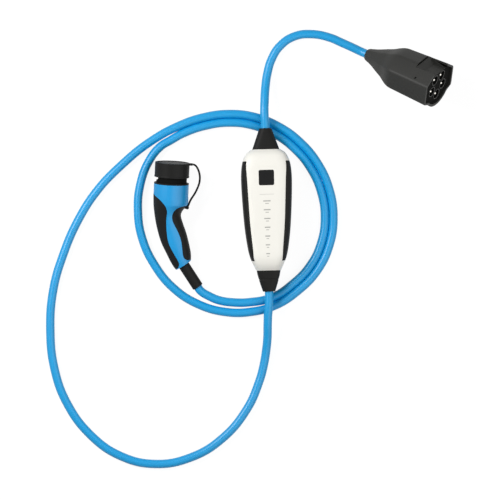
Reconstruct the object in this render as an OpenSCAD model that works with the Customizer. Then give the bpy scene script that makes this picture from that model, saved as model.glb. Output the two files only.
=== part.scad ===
// Portable charger for electric cars: control box, supply lead and connector, charging cable and handle.
// It lies flat. The box lies along Y, with the supply lead at +Y, and the floor is z = 0.

/* [Control box] */
// Length of the white housing
box_l = 218; // [206:1:236]
// Largest width of the housing
box_w = 91.4; // [86:0.2:104]
// Thickness of the housing
box_t = 60; // [57:1:68]
// Wall of the moulded shells
wall = 3; // [2.6:0.1:3.4]
// Thickness of the side bumpers
bumper_t = 3; // [2:0.1:3.4]
// Width of a bumper as seen from the front
bumper_face = 11; // [8:0.2:12]
// Length of the side bumpers
bumper_l = 180; // [160:1:184]
// Side of the square touch tile
tile_w = 27.5; // [20:0.5:32]
// Thickness of the touch tile
tile_t = 2.4; // [1.5:0.1:3]
// Distance between the indicator dashes
dash_pitch = 15.8; // [12:0.1:16.4]
// Width of the longest indicator dash
dash_w = 13; // [10:0.5:16]

/* [Boots and cable] */
// Diameter of both cables
cable_d = 15; // [13:0.1:15.2]
// How far each boot stands out of the housing
boot_l = 38; // [30:1:44]
// Diameter of the boot's tip
boot_tip_d = 22; // [20:0.5:25]
// Diameter of the boot's neck in the end wall
boot_neck_d = 25; // [22:0.5:27]
// Diameter of the boot's flange behind the wall
boot_flange_d = 30; // [29:0.5:32]

/* [Inside the box] */
// Length of the circuit board
board_l = 136; // [132:1:142]
// Width of the circuit board
board_w = 50; // [48:0.5:52]
// Thickness of the circuit board
board_t = 1.6; // [1.2:0.1:2.4]
// Height of the board's underside above the floor
board_z = 12; // [9:0.5:14]
// Outer diameter of the fault current sensor's ring
sensor_d = 32; // [26:0.5:33]
// Diameter of the housing screws
screw_d = 3; // [2.5:0.1:3.5]

/* [Vehicle connector] */
// Diameter of the handle's collar
collar_d = 62.8; // [60:0.2:66]
// Diameter of the round nose
nose_d = 55; // [52:0.2:56]
// How far the nose stands out of the collar
nose_l = 35.5; // [32:0.5:40]
// Depth of the soft grips
grip_t = 3.2; // [2.4:0.1:4]
// Outer diameter of the dust cap
cap_d = 63; // [61:0.2:66]
// Length of the dust cap's skirt
cap_skirt = 23; // [16:0.5:24]
// Thickness of the dust cap's end
cap_end = 3; // [2:0.1:4]
// Diameter of the cap's tether
tether_d = 3; // [2:0.1:3.6]
// Length of the cable sleeve
sleeve_l = 47; // [40:0.5:56]
// Diameter of the cable sleeve
sleeve_d = 20; // [19:0.2:23]

/* [Supply connector] */
// Width of the connector's face
plug_w = 93; // [88:0.5:98]
// Height of the connector's face
plug_h = 82; // [80:0.5:87]
// Length of the body from the knee to the face
plug_body = 77.5; // [68:0.5:90]
// Length of the tapered tail
plug_tail = 76; // [70:1:84]
// Diameter of the tail's end
plug_tail_d = 21; // [19:0.5:25]
// Wall around the contact insert, at the face
plug_wall = 4.5; // [4:0.1:5]
// Pitch circle diameter of the five contacts
well_pitch = 38; // [36:0.2:40]
// Diameter of a contact well
well_d = 17.6; // [15:0.1:18.6]
// Diameter of a contact pin
pin_d = 5; // [4:0.1:7]
// Angle at which the connector is tipped up
plug_tilt = 23; // [20:0.5:26]

/* [Hidden] */

$fn = 48;
black = "#242523";
white = "#f2f1ea";
blue = "#2f9be4";
steel = "silver";
// Clearance between pieces that slide into each other
gap = 0.3;
// Overlap of cutting tools past a face
cut = 1;
// Clearance under moulded-on rubber, and the angle that it takes off each of its edges
seat = 0.2;
seat_angle = 0.4;

// Smooth curve through [place, value] knots
function slope(k, i) =
  let (a = max(i - 1, 0), b = min(i + 1, len(k) - 1)) (k[b][1] - k[a][1]) / (k[b][0] - k[a][0]);
function span(k, y, i = 0) = i >= len(k) - 2 || y <= k[i + 1][0] ? i : span(k, y, i + 1);
function curve(k, y) =
  let (
    i = span(k, y),
    s = k[i + 1][0] - k[i][0],
    t = (y - k[i][0]) / s,
    u = 1 - t
  )
  u * u * (1 + 2 * t) * k[i][1] + t * u * u * s * slope(k, i)
  + t * t * (3 - 2 * t) * k[i + 1][1] - t * t * u * s * slope(k, i + 1);
function clamp01(v) = min(max(v, 0), 1);
function unit(v) = v / norm(v);
function mix(a, b, t) = a + (b - a) * t;

// Skin over rings of equal count, each turning counter-clockwise about the way the rings follow.
// The ends are closed by strips between point i and its partner counted back from the ring's end.
// An inlay is split along the other diagonal, so that its inner side matches the seat under it.
module skin(rings, inlay = false) {
  n = len(rings[0]);
  last = (len(rings) - 1) * n;
  sides = [
    for (k = [0:len(rings) - 2], i = [0:n - 1])
      let (a = k * n + i, b = k * n + (i + 1) % n)
      each inlay ? [[a + n, b + n, a], [b + n, b, a]] : [[a + n, b + n, b], [a + n, b, a]]
  ];
  ends = [
    for (i = [0:n / 2 - 2])
      let (
        j = n - 1 - i,
        strip = i < n / 4 ? [[i, i + 1, j], [i + 1, j - 1, j]] : [[i, i + 1, j - 1], [i, j - 1, j]]
      )
      each [
        strip[0], strip[1],
        [for (q = [2:-1:0]) last + strip[0][q]],
        [for (q = [2:-1:0]) last + strip[1][q]]
      ]
  ];
  polyhedron([for (r = rings) each r], concat(sides, ends));
}

// Round tube along a path
function along(path, i) = unit(path[min(i + 1, len(path) - 1)] - path[max(i - 1, 0)]);
function tube_ring(p, way, r, n) =
  let (side = unit(cross(way, [0, 0, 1])), up = cross(side, way))
  [for (i = [0:n - 1]) let (a = i * 360 / n) p + r * (cos(a) * side + sin(a) * up)];
module tube(path, d, n) {
  skin([for (i = [0:len(path) - 1]) tube_ring(path[i], along(path, i), d / 2, n)]);
}

// Control box form: half-width and half-height along the length
box_half = box_l / 2;
axis_z = box_t / 2;
end_w = 25;
foot_w = 22;
end_h = 17;
wide = box_w / 2;
width_knots = [
  [-box_half, foot_w], [5 - box_half, foot_w + 2.5], [11 - box_half, 0.6 * wide],
  [24 - box_half, 0.715 * wide], [41 - box_half, 0.8 * wide], [-33, 0.9 * wide], [15, 0.972 * wide],
  [box_half - 54, wide], [box_half - 34, 0.976 * wide], [box_half - 20, 0.915 * wide],
  [box_half - 9, 0.805 * wide], [box_half - 3.5, 0.69 * wide], [box_half, end_w]
];
height_knots = [
  [-box_half, end_h], [5 - box_half, axis_z - 8.5], [11 - box_half, axis_z - 4.5],
  [19 - box_half, axis_z - 1.4], [26 - box_half, axis_z], [32 - box_half, axis_z],
  [box_half - 32, axis_z], [box_half - 26, axis_z], [box_half - 18, axis_z - 1.2],
  [box_half - 9, axis_z - 4.5], [box_half - 3.5, axis_z - 9], [box_half, end_h]
];
bumper_mid = -2;
bumper_lo = bumper_mid - bumper_l / 2;
bumper_hi = bumper_mid + bumper_l / 2;
face_knots = [
  [bumper_lo, bumper_face / 2], [bumper_lo + 24, 0.86 * bumper_face], [-20, bumper_face],
  [bumper_hi - 33, bumper_face], [bumper_hi, 0.63 * bumper_face]
];
function half_w(y) = curve(width_knots, y);
function half_h(y) = curve(height_knots, y);
// Section of the housing is a superellipse with its front and back cut flat
section_power = 4;
flat_share = 0.986;
function soft(v) = sign(v) * pow(abs(v), 2 / section_power);
function flat(v) = max(min(soft(v) / flat_share, 1), -1);
function box_point(y, a, inset) =
  [-(half_w(y) - inset) * soft(cos(a)), y, axis_z + (half_h(y) - inset) * flat(sin(a))];
// Angle from the parting plane to the bumper's edge
function edge_angle(y) =
  acos(pow((half_w(y) - curve(face_knots, y)) / half_w(y), section_power / 2));
side_steps = 4;
face_steps = 10;
function arc(a, b, n) = [for (i = [0:n]) a + (b - a) * i / n];
function bumper_angle(y) = y > bumper_lo - 0.1 && y < bumper_hi + 0.1 ? edge_angle(y) : 40;
inner_x = wall + bumper_t;
function inner_point(y, a, open) =
  [-(half_w(y) - inner_x) * soft(cos(a)), y, axis_z + open * (half_h(y) - wall) * flat(sin(a))];
function shell_ring(y, inset, open) =
  let (e = bumper_angle(y), angles = concat(arc(0, e, side_steps), arc(e, 180 - e, face_steps),
      arc(180 - e, 180, side_steps)))
  concat(
    [for (a = arc(0, e, side_steps)) box_point(y, a, inset)],
    [for (a = arc(e, 180 - e, face_steps)) box_point(y, a, 0)],
    [for (a = arc(180 - e, 180, side_steps)) box_point(y, a, inset)],
    [for (i = [len(angles) - 1:-1:0]) inner_point(y, angles[i], open)]
  );
bumper_stops = [
  for (s = [0, 0.04, 0.1, 0.2, 0.32, 0.45, 0.58, 0.7, 0.82, 0.92, 1]) mix(bumper_lo, bumper_hi, s)
];
// Length over which the skin makes a sharp step
step = 0.02;
end_in = box_half - wall;
foot_stops = [-box_half, -end_in, step - end_in, 7 - box_half, 12 - box_half];
end_stops = [box_half - 15, box_half - 9, box_half - 5.5, end_in - step, end_in, box_half];
function wall_open(y) = abs(y) > end_in - step / 2 ? 0 : 1;
module half_shell() {
  skin(concat(
    [for (y = foot_stops) shell_ring(y, 0, wall_open(y))],
    [shell_ring(bumper_lo - step, 0, 1)],
    [for (y = bumper_stops) shell_ring(y, bumper_t, 1)],
    [shell_ring(bumper_hi + step, 0, 1)],
    [for (y = end_stops) shell_ring(y, 0, wall_open(y))]
  ));
}

// Fastener places
pillar_d = 8;
pillar_places = [[24, box_half - 20], [-24, box_half - 20], [14.5, 29 - box_half], [-14.5, 29 - box_half]];
head_d = 2 * screw_d;
head_t = 2.4;
screw_reach = 12;
head_seat = wall + head_t + 1.6;
board_y = 2;
board_top = board_z + board_t;
board_screw_x = board_w / 2 - 4.5;
board_screw_hi = board_y + board_l / 2 - 17;
board_screw_lo = board_y - board_l / 2 + 28;
boss_d = 7;
board_places = [
  for (sx = [-1, 1], y = [board_screw_lo, board_screw_hi]) [sx * board_screw_x, y]
];
clamp_l = 10;
clamp_w = 24;
pedestal_w = clamp_w + 2;
clamp_y = box_half - 15;
clamp_low = axis_z - 12;
clamp_h = 24;

// Indicators and tile
tile_y = box_half - 51;
dash_top = 13.7;
dash_count = 7;
dash_h = 1.6;
dash_taper = 1.1;
// Strip under the front wall that carries the indicator bars
guide_t = 2.5;
guide_end = 8;
guide_hi = dash_top + guide_end / 2;
guide_lo = guide_hi - (dash_count - 1) * dash_pitch - guide_end;
guide_top = axis_z + min(half_h(guide_lo), half_h(guide_hi)) - wall - gap;
tile_r = 3;
tile_proud = 0.4;
tile_seat = box_t - tile_t + tile_proud;

module rounded_square(w, r) {
  square([w, w - 2 * r], center = true);
  square([w - 2 * r, w], center = true);
  for (sx = [-1, 1], sy = [-1, 1])
    translate([sx * (w / 2 - r), sy * (w / 2 - r)]) circle(r);
}

module along_y(y, z = axis_z) {
  translate([0, y, z]) rotate([-90, 0, 0]) children();
}

module front_shell() {
  color(white) difference() {
    union() {
      half_shell();
      for (p = pillar_places)
        translate([p[0], p[1], axis_z]) cylinder(d = pillar_d, h = half_h(p[1]) - wall / 2);
    }
    translate([0, tile_y, tile_seat]) linear_extrude(tile_t + cut) rounded_square(tile_w + gap, tile_r);
    for (i = [0:dash_count - 1])
      let (w = dash_w - i * dash_taper + gap, h = dash_h + gap)
        translate([-w / 2, dash_top - i * dash_pitch - h / 2, guide_top])
          cube([w, h, box_t - guide_top + cut]);
    for (p = pillar_places)
      translate([p[0], p[1], axis_z - cut]) cylinder(d = screw_d + gap, h = screw_reach + cut);
    for (s = [0, 1])
      along_y(s == 0 ? -box_half - cut : box_half - wall - cut)
        cylinder(d = boot_neck_d + gap, h = wall + 2 * cut);
  }
}

module rear_shell() {
  color(white) difference() {
    union() {
      translate([0, 0, axis_z]) mirror([0, 0, 1]) translate([0, 0, -axis_z]) half_shell();
      for (p = pillar_places)
        translate([p[0], p[1], axis_z - half_h(p[1]) + wall / 2])
          cylinder(d = pillar_d, h = half_h(p[1]) - wall / 2);
      for (p = board_places)
        translate([p[0], p[1], wall / 2]) cylinder(d = boss_d, h = board_z - wall / 2);
      for (s = [-1, 1])
        let (low = axis_z - half_h(s * clamp_y) + wall / 2)
          translate([-pedestal_w / 2, s * clamp_y - clamp_l / 2, low])
            cube([pedestal_w, clamp_l, clamp_low - low]);
    }
    for (p = pillar_places) {
      translate([p[0], p[1], -cut]) cylinder(d = screw_d + gap, h = box_t);
      translate([p[0], p[1], -cut]) cylinder(d = head_d + gap, h = head_seat + cut);
    }
    for (p = board_places)
      translate([p[0], p[1], wall]) cylinder(d = screw_d + gap, h = board_z);
    for (s = [0, 1])
      along_y(s == 0 ? -box_half - cut : box_half - wall - cut)
        cylinder(d = boot_neck_d + gap, h = wall + 2 * cut);
    seal_strips(seal_t);
  }
}

// Cord seal in a groove of the rear shell's rim
seal_t = 1.2;
seal_short = 12;
seal_stops = [for (i = [0:12]) mix(seal_short - box_half, box_half - seal_short, i / 12)];
seal_in = bumper_t + wall / 2;
module seal_strips(t) {
  for (s = [-1, 1])
    translate([0, 0, axis_z - t])
      linear_extrude(t)
        polygon(concat(
          [for (y = seal_stops) [s * (half_w(y) - seal_in + t / 2), y]],
          [for (i = [len(seal_stops) - 1:-1:0])
            [s * (half_w(seal_stops[i]) - seal_in - t / 2), seal_stops[i]]]
        ));
}
module housing_seal() {
  color(black) seal_strips(seal_t);
}

// Bumper bands wrap the side from front edge to rear edge
function bumper_ring(y, s) =
  let (e = edge_angle(y) - seat_angle, n = 2 * side_steps,
    outer = [for (a = arc(-e, e, n)) box_point(y, a, 0)],
    inner = [for (a = arc(e, -e, n)) box_point(y, a, bumper_t - seat)],
    ring = concat(outer, inner))
  [for (i = [0:len(ring) - 1])
    let (p = ring[s > 0 ? len(ring) - 1 - i : i]) [-s * abs(p[0]), p[1], p[2]]];
module bumper(s) {
  skin([for (y = bumper_stops) bumper_ring(y, s)]);
}
module left_bumper() {
  color(black) bumper(1);
}
module right_bumper() {
  color(black) bumper(-1);
}

// Boots: oval at the wall, round at the tip
boot_points = 32;
flange_t = 3;
flange_y = end_in - step - flange_t;
// How far a boot's foot lies in from the end wall's edge
boot_in = 0.5;
function boot_ring(y, w, h, k) = [
  for (i = [0:boot_points - 1])
    let (a = i * 360 / boot_points)
    [-mix(w * soft(cos(a)), boot_tip_d / 2 * cos(a), k), y,
      axis_z + mix(h * soft(sin(a)), boot_tip_d / 2 * sin(a), k)]
];
module boot(w, h, bulge) {
  difference() {
    union() {
      skin([for (t = [0, 0.2, 0.4, 0.6, 0.8, 1])
        boot_ring(box_half + t * boot_l, w, h, pow(t, bulge))]);
      along_y(flange_y + cut) cylinder(d = boot_neck_d, h = box_half - flange_y);
      along_y(flange_y) cylinder(d = boot_flange_d, h = flange_t);
    }
    along_y(flange_y - cut) cylinder(d = cable_d + gap, h = box_half + boot_l - flange_y + 2 * cut);
  }
}
module supply_boot() {
  color(black) boot(end_w - boot_in, end_h - boot_in, 1);
}
module vehicle_boot() {
  color(black) rotate([0, 0, 180]) boot(foot_w - boot_in, end_h - boot_in, 1.25);
}

module touch_tile() {
  color(black) translate([0, tile_y, tile_seat]) linear_extrude(tile_t) rounded_square(tile_w, tile_r);
}

// One moulding: a strip under the front wall with a bar through each slot
module light_guide() {
  guide_w = dash_w + 4;
  color("whitesmoke") {
    translate([-guide_w / 2, guide_lo, guide_top - guide_t])
      cube([guide_w, guide_hi - guide_lo, guide_t]);
    for (i = [0:dash_count - 1])
      let (w = dash_w - i * dash_taper)
        translate([-w / 2, dash_top - i * dash_pitch - dash_h / 2, guide_top - cut])
          cube([w, dash_h, box_t - guide_top + cut]);
  }
}

// Electronics stand on the board
module circuit_board() {
  color("darkgreen") difference() {
    translate([-board_w / 2, board_y - board_l / 2, board_z]) cube([board_w, board_l, board_t]);
    for (p = board_places)
      translate([p[0], p[1], board_z - cut]) cylinder(d = screw_d + gap, h = board_t + 2 * cut);
  }
}
board_hi = board_y + board_l / 2;
board_lo = board_y - board_l / 2;
terminal_l = 11;
terminal_h = 15;
terminal_w = board_w - 6;
terminal_hole_d = 5;
terminal_hole_l = 6;
module terminal_block(y) {
  difference() {
    translate([-terminal_w / 2, y, board_top]) cube([terminal_w, terminal_l, terminal_h]);
    for (i = [-2:2])
      translate([i * terminal_w / 5, y + terminal_l / 2, board_top + terminal_h - terminal_hole_l])
        cylinder(d = terminal_hole_d, h = terminal_hole_l + cut);
  }
}
module supply_terminals() {
  color("seagreen") terminal_block(board_hi - terminal_l - 1);
}
module vehicle_terminals() {
  color("seagreen") terminal_block(board_lo + 1);
}
sensor_t = 12;
sensor_y = board_hi - terminal_l - 3 - sensor_d / 2;
module fault_current_sensor() {
  color("dimgray") translate([0, sensor_y, board_top]) difference() {
    cylinder(d = sensor_d, h = sensor_t);
    translate([0, 0, -cut]) cylinder(d = sensor_d / 2, h = sensor_t + 2 * cut);
  }
}
relay_size = [20, 28, 24];
relay_y = sensor_y - sensor_d / 2 - 2 - relay_size[1];
module power_relays() {
  color("black") for (s = [-1, 1])
    translate([s * (relay_size[0] / 2 + 1.5) - relay_size[0] / 2, relay_y, board_top]) cube(relay_size);
}
module_size = [38, 18, 18];
module power_supply_module() {
  color("gold")
    translate([-module_size[0] / 2, relay_y - 2 - module_size[1], board_top]) cube(module_size);
}
module cable_clamps() {
  color(black) for (s = [-1, 1])
    difference() {
      translate([-clamp_w / 2, s * clamp_y - clamp_l / 2, clamp_low]) cube([clamp_w, clamp_l, clamp_h]);
      along_y(s * clamp_y - clamp_l) cylinder(d = cable_d + gap, h = 2 * clamp_l);
    }
}
module screw(head_z, reach, up) {
  translate([0, 0, head_z]) mirror([0, 0, up ? 0 : 1]) {
    translate([0, 0, -head_t]) cylinder(d = head_d, h = head_t);
    translate([0, 0, -cut]) cylinder(d = screw_d, h = reach + cut);
  }
}
module housing_screws() {
  color(steel) for (p = pillar_places)
    translate([p[0], p[1], 0]) screw(head_seat, axis_z + screw_reach - head_seat - cut, true);
}
module board_screws() {
  color(steel) for (p = board_places)
    translate([p[0], p[1], 0]) screw(board_top, board_top - wall - cut, false);
}

// Handle frame: origin at the middle of the collar's front, nose along +Y, lying on its side
collar_r = collar_d / 2;
handle_lean = 4.07;
handle_tilt = 6.8;
handle_spot = [-171.2, 50.9];
collar_l = 18;
handle_z = collar_r * cos(handle_tilt) + collar_l * sin(handle_tilt);
module in_handle() {
  translate([handle_spot[0], handle_spot[1], handle_z])
    rotate([0, 0, -handle_lean]) rotate([handle_tilt, 0, 0]) children();
}
function handle_at(p) =
  let (
    y = p[1] * cos(handle_tilt) - p[2] * sin(handle_tilt),
    z = p[1] * sin(handle_tilt) + p[2] * cos(handle_tilt)
  )
  [
    handle_spot[0] + p[0] * cos(handle_lean) + y * sin(handle_lean),
    handle_spot[1] - p[0] * sin(handle_lean) + y * cos(handle_lean),
    handle_z + z
  ];
// Spine and half-sizes of the handle, by distance back from the collar's front
spine_x = [
  [0, 0], [18, 0], [36, 0.2], [44, -2.6], [50, -3.9], [58, -3.7], [76, 1.8], [97, 9.8], [117, 18],
  [135, 25], [146, 29]
];
half_size_w = [
  [0, collar_r], [18, collar_r], [36, collar_r - 0.6], [44, 27.2], [50, 24.9], [58, 23.3], [76, 23],
  [97, 23.2], [117, 21.2], [135, 18.4], [146, 14.5]
];
// Angle by which the sections lean as the grip bends away from the nose axis
lean = [[0, 0], [18, 0], [44, 0], [58, 3], [76, 14], [97, 22], [117, 27], [135, 32], [146, 35.4]];
half_size_t = [
  [0, collar_r], [18, collar_r], [36, collar_r - 1.2], [44, 27], [50, 25], [58, 23], [76, 21],
  [97, 20.3], [117, 19.4], [135, 17], [146, 14.5]
];
// Where the grips' edges run, as a share of the half-width from the spine
back_edge = [
  [19, -1], [27, -0.64], [38, -0.33], [52, -0.05], [74, -0.2], [97, -0.38], [117, -0.36],
  [137, -0.25], [145, -0.15]
];
front_edge = [
  [37, 1], [38.5, 0.66], [44, 0.4], [54, 0.34], [76, 0.45], [97, 0.5], [117, 0.4], [130, 0.5],
  [139, 0.8], [143, 1]
];
handle_l = 146;
handle_stops = [
  0, 10, 18, 19, 22, 27, 32, 37, 38, 40, 44, 50, 58, 67, 76, 86, 97, 107, 117, 126, 134, 139, 141, 143,
  handle_l
];
function share(edge, s, none) =
  s <= edge[0][0] || s >= edge[len(edge) - 1][0] ? none : max(min(curve(edge, s), 0.98), -0.98);
function back_angle(s) = acos(share(back_edge, s, -1));
function front_angle(s) = acos(share(front_edge, s, 1));
// Grips thin out where they run to a point
function depth_of(width_angle) = grip_t * clamp01(width_angle / 20);
function handle_point(s, a, inset) =
  let (across = (curve(half_size_w, s) - inset) * cos(a), turn = curve(lean, s))
  [curve(spine_x, s) + across * cos(turn), across * sin(turn) - s, (curve(half_size_t, s) - inset) * sin(a)];
grip_steps = 7;
function handle_ring(s) =
  let (f = front_angle(s), b = back_angle(s), df = depth_of(f), db = depth_of(180 - b))
  concat(
    [for (a = arc(-f, f, grip_steps)) handle_point(s, a, df)],
    [for (a = arc(f, b, grip_steps)) handle_point(s, a, 0)],
    [for (a = arc(b, 360 - b, grip_steps)) handle_point(s, a, db)],
    [for (a = arc(360 - b, 360 - f, grip_steps)) handle_point(s, a, 0)]
  );
function grip_ring(s, from, to, depth) =
  let (a0 = from + seat_angle, a1 = to - seat_angle)
  concat(
    [for (a = arc(a0, a1, grip_steps)) handle_point(s, a, 0)],
    [for (a = arc(a1, a0, grip_steps)) handle_point(s, a, depth - seat)]
  );
nose_seat = 20;
module nose_axis(y) {
  translate([0, y, 0]) rotate([-90, 0, 0]) children();
}
module handle_shell() {
  color(blue) in_handle() difference() {
    skin([for (s = handle_stops) handle_ring(s)]);
    nose_axis(-nose_seat) cylinder(d = nose_d + gap, h = nose_seat + cut);
  }
}
module back_grip() {
  stops = [for (s = handle_stops) if (s > 19.5 && s < 144.5) s];
  rings = [for (s = stops) let (b = back_angle(s)) grip_ring(s, b, 360 - b, depth_of(180 - b))];
  color(black) in_handle() skin(rings, inlay = true);
}
// The upper end of the front grip carries the tether's lug
lug_d = 6;
lug_h = 8;
lug_neck = 4;
lug_spot = [collar_r - 0.9, -41.5];
module front_grip() {
  stops = [for (s = handle_stops) if (s > 37.5 && s < 142.5) s];
  rings = [for (s = stops) let (f = front_angle(s)) grip_ring(s, -f, f, depth_of(f))];
  color(black) in_handle() {
    skin(rings, inlay = true);
    translate([lug_spot[0], lug_spot[1], -lug_h / 2]) {
      cylinder(d = lug_d, h = lug_h);
      translate([-lug_neck - 1, -lug_neck / 2, 0]) cube([lug_neck + 1, lug_neck, lug_h]);
    }
  }
}
seal_w = 2.4;
module nose_seal() {
  color(black) in_handle() difference() {
    nose_axis(0) cylinder(d = collar_d, h = seal_w);
    nose_axis(-cut) cylinder(d = nose_d + gap, h = seal_w + 2 * cut);
  }
}
// Seven wells: up is -X of the handle, across is Z
well_depth = 30;
signal_d = 5.6;
power_d = 9.4;
contact_rows = [
  [13.6, -7, signal_d], [13.6, 7, signal_d],
  [1, -17, power_d], [1, 0, power_d], [1, 17, power_d],
  [-14.5, -8.8, power_d], [-14.5, 8.8, power_d]
];
// The nose has a flat along its upper side
nose_flat = 24.5;
nose_flat_y = seal_w + 4;
module contact_carrier() {
  color(black) in_handle() difference() {
    nose_axis(-nose_seat) cylinder(d = nose_d, h = nose_seat + nose_l);
    translate([-nose_flat - nose_d, nose_flat_y, -nose_d]) cube([nose_d, nose_l, 2 * nose_d]);
    for (c = contact_rows)
      translate([-c[0], 0, c[1]]) nose_axis(nose_l - well_depth) cylinder(d = c[2], h = well_depth + cut);
  }
}
module vehicle_contacts() {
  contact_l = 24;
  tube_wall = 1;
  tube_floor = 3;
  color(steel) in_handle() for (c = contact_rows)
    translate([-c[0], 0, c[1]]) difference() {
      nose_axis(nose_l - well_depth) cylinder(d = c[2] - 2 * gap, h = contact_l);
      nose_axis(nose_l - well_depth + tube_floor) cylinder(d = c[2] - 2 * gap - 2 * tube_wall, h = contact_l);
    }
}
// Cap over the nose, with a lug for its tether
cap_low = nose_l - cap_skirt;
cap_top = nose_l + gap + cap_end;
cap_lug = 5;
cap_lug_t = 4;
cap_lug_w = 7;
module dust_cap() {
  color(black) in_handle() difference() {
    union() {
      nose_axis(cap_low) cylinder(d = cap_d, h = cap_top - cap_low);
      translate([0, cap_top - cap_lug_t, -cap_lug_w / 2]) cube([cap_d / 2 + cap_lug, cap_lug_t, cap_lug_w]);
    }
    nose_axis(cap_low - cut) cylinder(d = nose_d + 2 * gap, h = cap_skirt + gap + cut);
  }
}
tether_seat = cap_d / 2 + cap_lug + gap / 2;
tether_y = cap_top - cap_lug_t / 2;
tether_in = unit([0.36, 0.93, 0]);
tether_lug = [lug_spot[0], lug_spot[1], 0] + (lug_d / 2 + gap / 2) * tether_in;
tether_path = [
  [tether_seat, tether_y, 0], [tether_seat + 2.4, tether_y - 0.2, 0], [43.5, 33.5, 0], [48, 25.5, 0],
  [50.5, 15, 0], [50, 4, 0], [47, -6, 0], [42.5, -16, 0], tether_lug + 12 * tether_in, tether_lug
];
module cap_tether() {
  color(black) in_handle() tube(tether_path, tether_d, 8);
}
// Sleeve leaves the handle's end along its last direction
sleeve_start = [29, -handle_l, 0];
sleeve_way = unit([0.58, -0.815, 0]);
sleeve_sink = 4;
sleeve_end = sleeve_start + sleeve_way * (sleeve_l - sleeve_sink);
sleeve_angle = atan2(-sleeve_way[0], -sleeve_way[1]);
cable_grip = 16;
module cable_sleeve() {
  color(black) in_handle() difference() {
    translate(sleeve_start) rotate([0, 0, -sleeve_angle]) rotate([90, 0, 0]) difference() {
      cylinder(d = sleeve_d, h = sleeve_l);
      translate([0, 0, sleeve_l - cable_grip]) cylinder(d = cable_d + gap, h = cable_grip + cut);
    }
    translate([sleeve_start[0], sleeve_start[1] + sleeve_d, 0]) cube(2 * sleeve_d, center = true);
  }
}

// Supply connector frame: origin at the tail's end, axis along +X, ridge along +Z
plug_heading = -25.6;
plug_roll = -52;
plug_l = plug_tail + plug_body;
plug_half_w = plug_w / 2;
ridge_half = 16.6;
ridge_z = plug_h / 2;
belly_r = plug_h / 2;
ear_hi = 19.4;
ear_lo = -20;
// Section of the body, right half from the ridge down, then mirrored
belly_from = 39;
half_section = concat(
  [[ridge_half, ridge_z], [plug_half_w, ear_hi], [plug_half_w, ear_lo]],
  [for (a = [belly_from, 54, 69, 84]) [belly_r * cos(a), -belly_r * sin(a)]]
);
// A point d inside the section, taken towards its middle
function inside(p, d) = p * (1 - d / norm(p));
function body_section(d) = concat(
  [for (p = half_section) inside(p, d)],
  [for (i = [len(half_section) - 1:-1:0]) let (p = inside(half_section[i], d)) [-p[0], p[1]]]
);
// The tail swells from round to the body's section and turns into the body over a soft knee
tail_knots = [
  [0, 0], [0.24, 0.2], [0.47, 0.45], [0.63, 0.62], [0.79, 0.84], [0.895, 0.95], [1, 1], [1.12, 1]
];
tail_stops = [0, 0.12, 0.24, 0.36, 0.47, 0.56, 0.64, 0.72, 0.79, 0.85, 0.91, 1];
// The body is drafted: its section at the knee is this share of the one at the face
knee_share = 0.92;
function body_share(s) = mix(knee_share, 1, clamp01((s - plug_tail) / plug_body));
// How far the lowest corner reaches below the axis, as the connector is rolled; it lies on its knee
down = [sin(-plug_roll), -cos(plug_roll)];
plug_reach = knee_share * (plug_half_w * down[0] + ear_lo * down[1]);
plug_spot = [186, 276.5];
plug_z = max([
  for (t = tail_stops)
    mix(plug_tail_d / 2, plug_reach, curve(tail_knots, t)) * cos(plug_tilt) - t * plug_tail * sin(plug_tilt)
]);
module in_plug() {
  translate([plug_spot[0], plug_spot[1], plug_z])
    rotate([0, 0, plug_heading]) rotate([0, -plug_tilt, 0]) rotate([plug_roll, 0, 0]) children();
}
function plug_at(s) =
  [
    plug_spot[0] + s * cos(plug_tilt) * cos(plug_heading),
    plug_spot[1] + s * cos(plug_tilt) * sin(plug_heading),
    plug_z + s * sin(plug_tilt)
  ];
function plug_ring(s) =
  let (sec = body_section(0), k = curve(tail_knots, min(s / plug_tail, 1)))
  [for (i = [len(sec) - 1:-1:0])
    let (p = mix(unit(sec[i]) * plug_tail_d / 2, sec[i] * body_share(s), k)) [s, p[0], p[1]]];
module plug_axis(x) {
  translate([x, 0, 0]) rotate([0, 90, 0]) children();
}
// Extrudes a section drawn as [across, up] along the connector's axis
module plug_prism(x, l) {
  translate([x, 0, 0]) rotate([90, 0, 90]) linear_extrude(l) children();
}
insert_l = 40;
insert_back = 3.5;
insert_face = plug_l - insert_back;
insert_low = insert_face - insert_l;
key_floor = 25.6;
key_w = 46;
key_l = 39;
tail_bore = 30;
// Small latch recess in each sloping flank, behind the rim
latch_s = plug_l - 29;
latch_l = 3;
latch_w = 4.5;
latch_deep = 1.2;
latch_at = body_share(latch_s) * mix(half_section[0], half_section[1], 0.78);
latch_turn = atan2(ridge_z - ear_hi, plug_half_w - ridge_half);
module keyway(l, extra) {
  translate([plug_l - l, -key_w / 2 - extra, key_floor]) cube([l + cut, key_w + 2 * extra, plug_h]);
}
module plug_housing() {
  color("#3d3d3b") in_plug() difference() {
    skin(concat([for (t = tail_stops) plug_ring(t * plug_tail)], [plug_ring(plug_l)]));
    plug_prism(insert_low, plug_l - insert_low + cut) polygon(body_section(plug_wall));
    keyway(key_l, 0);
    for (m = [0, 1])
      mirror([0, m, 0]) translate([latch_s, latch_at[0], latch_at[1]]) rotate([-latch_turn, 0, 0])
        cube([latch_l, latch_w, 2 * latch_deep], center = true);
    plug_axis(-cut) cylinder(d = cable_d + 2 * gap, h = tail_bore + cut);
  }
}
well_l = 34;
pin_back = 2.5;
well_places = [
  for (i = [0:4]) let (a = 90 + 36 + i * 72) [well_pitch / 2 * cos(a), well_pitch / 2 * sin(a)]
];
module at_wells() {
  for (w = well_places) translate([0, w[0], w[1]]) children();
}
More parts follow.
